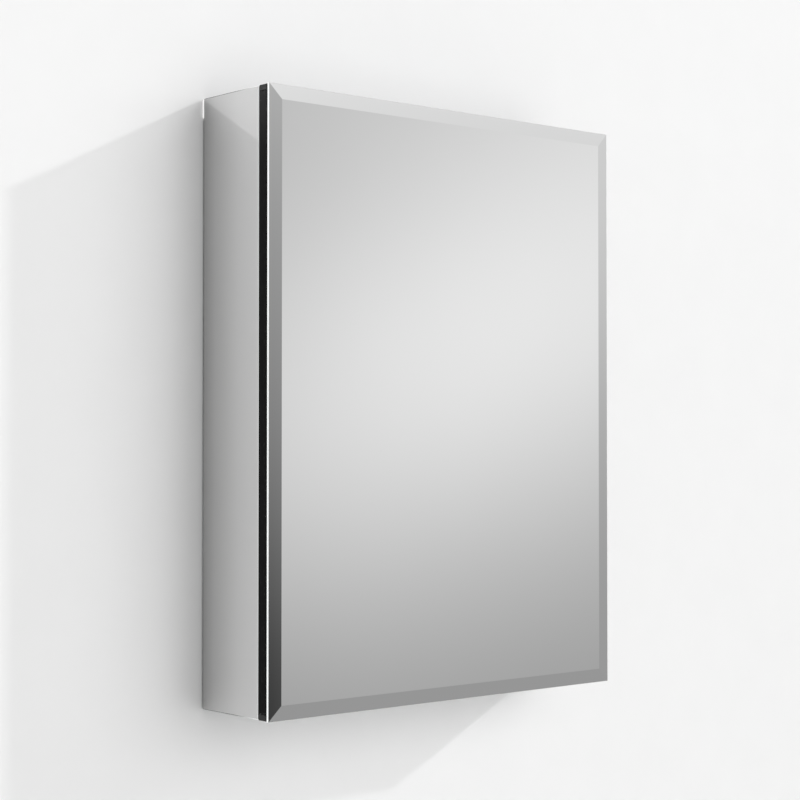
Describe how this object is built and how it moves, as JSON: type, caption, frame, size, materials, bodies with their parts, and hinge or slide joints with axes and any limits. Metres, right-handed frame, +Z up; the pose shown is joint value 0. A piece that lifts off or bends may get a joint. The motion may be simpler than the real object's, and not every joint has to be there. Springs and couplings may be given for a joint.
{
  "type": "medicine cabinet",
  "caption": "Wall-hung medicine cabinet with a bevelled mirror door on pivot hinges, mirrored side panels and glass shelves inside.",
  "frame": {"origin": "centre of the back panel's rear face, which lies on the wall", "axes": "+Z up, +Y into the wall, -Y out of the mirror door towards the room, +X to the right seen from the room (hinge side)"},
  "size_m": [0.508, 0.1205, 0.66],
  "materials": {
    "case_sheet": "brushed anodised",
    "mirror_glass": "polished",
    "clear_glass": "polished",
    "black_frame": "satin black anodised",
    "black_plastic": "fine matte",
    "black_foam": "matte foam",
    "steel": "zinc plated",
    "nickel": "bright nickel",
    "clear_soft": "clear silicone",
    "white_foam": "white foam tape",
    "grey_plastic": "fine matte",
    "magnet": "dark sintered",
    "core_board": "expanded polymer board",
    "acetal": "smooth"
  },
  "bodies": {
    "case": {"side_wall_left": "case_sheet", "side_wall_right": "case_sheet", "top_wall": "case_sheet", "bottom_wall": "case_sheet", "back_panel": "case_sheet", "case_rivets": "case_sheet", "corner_brackets": "steel", "back_mirror": "mirror_glass", "back_mirror_pads": "white_foam", "shelf_pins": "nickel", "shelf_pin_sleeves": "clear_soft", "side_mirror_left": "mirror_glass", "side_brackets_left": "steel", "side_tape_left": "black_foam", "side_mirror_right": "mirror_glass", "side_brackets_right": "steel", "side_tape_right": "black_foam", "wall_spacers": "acetal", "side_screws": "steel", "catch_housing": "grey_plastic", "catch_magnet": "magnet", "catch_screws": "steel", "door_bumpers": "clear_soft", "pivot_arm_top": "steel", "pivot_arm_bottom": "steel", "pivot_pins": "steel", "pivot_washers": "acetal", "pivot_screws": "steel", "pivot_nuts": "steel"},
    "door": {"door_frame_left": "black_frame", "door_frame_right": "black_frame", "door_frame_top": "black_frame", "door_frame_bottom": "black_frame", "corner_blocks": "black_plastic", "pivot_block_top": "black_plastic", "pivot_block_bottom": "black_plastic", "pivot_bushings": "acetal", "inner_mirror": "mirror_glass", "door_core": "core_board", "core_tape": "black_foam", "mirror_gasket": "black_foam", "front_mirror": "mirror_glass", "strike_plate": "steel"},
    "shelf_upper": {"shelf_upper": "clear_glass"},
    "shelf_lower": {"shelf_lower": "clear_glass"}
  },
  "joints": [
    {"name": "door_hinge", "type": "hinge", "parent": "case", "child": "door", "pos_m": [0.2485, -0.109, 0], "axis": [0, 0, 1], "range_deg": [0, 110]},
    {"name": "shelf_upper_lift", "type": "slide", "parent": "case", "child": "shelf_upper", "axis": [0, 0, 1], "range_m": [0, 0.02]},
    {"name": "shelf_lower_lift", "type": "slide", "parent": "case", "child": "shelf_lower", "axis": [0, 0, 1], "range_m": [0, 0.02]}
  ]
}
